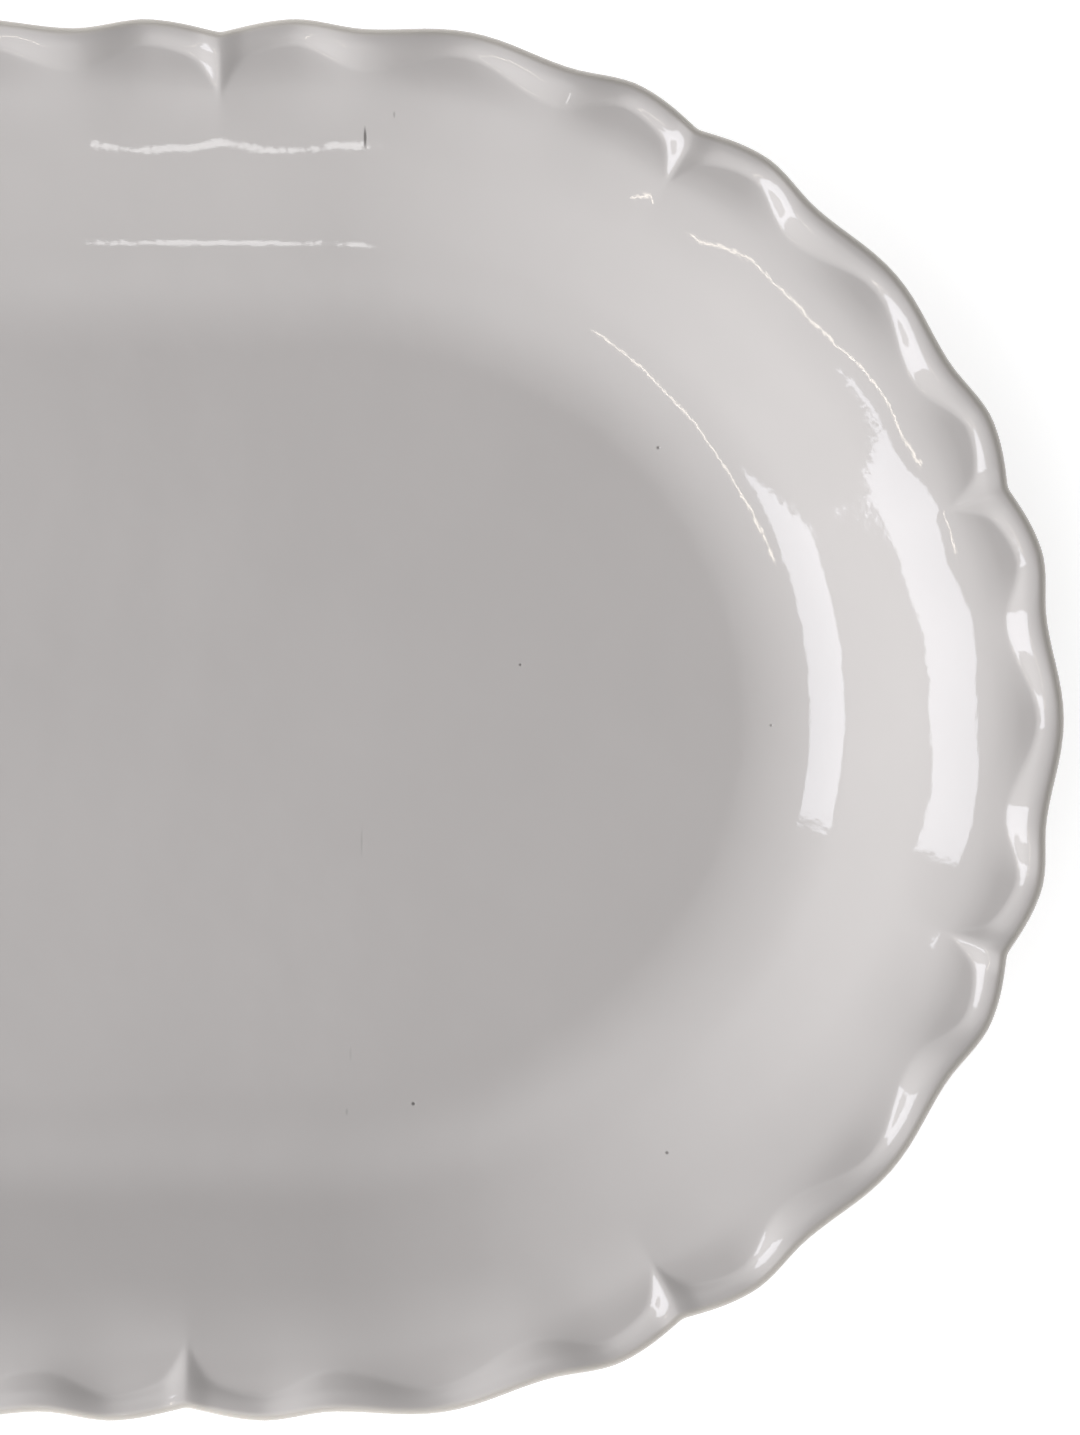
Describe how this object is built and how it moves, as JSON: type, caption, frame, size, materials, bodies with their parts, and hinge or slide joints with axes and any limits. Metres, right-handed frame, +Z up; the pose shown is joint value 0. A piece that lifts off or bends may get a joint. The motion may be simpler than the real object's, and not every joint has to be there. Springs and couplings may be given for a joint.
{
  "type": "oval serving platter",
  "caption": "Oval white glazed ceramic serving platter with a shallow sloping well, a pinched scalloped rim and a low bare foot ring.",
  "frame": {"origin": "on the table, under the middle of the foot ring", "axes": "+X along the platter's length, +Y across it, +Z up out of the well"},
  "size_m": [0.4, 0.257, 0.0346],
  "materials": {
    "biscuit_clay": "bare fired clay, matte",
    "white_glaze": "glossy off-white glaze"
  },
  "bodies": {
    "root": {"clay_body": "biscuit_clay", "foot_ring": "biscuit_clay", "face_glaze": "white_glaze", "back_glaze": "white_glaze", "foot_well_glaze": "white_glaze"}
  },
  "joints": []
}
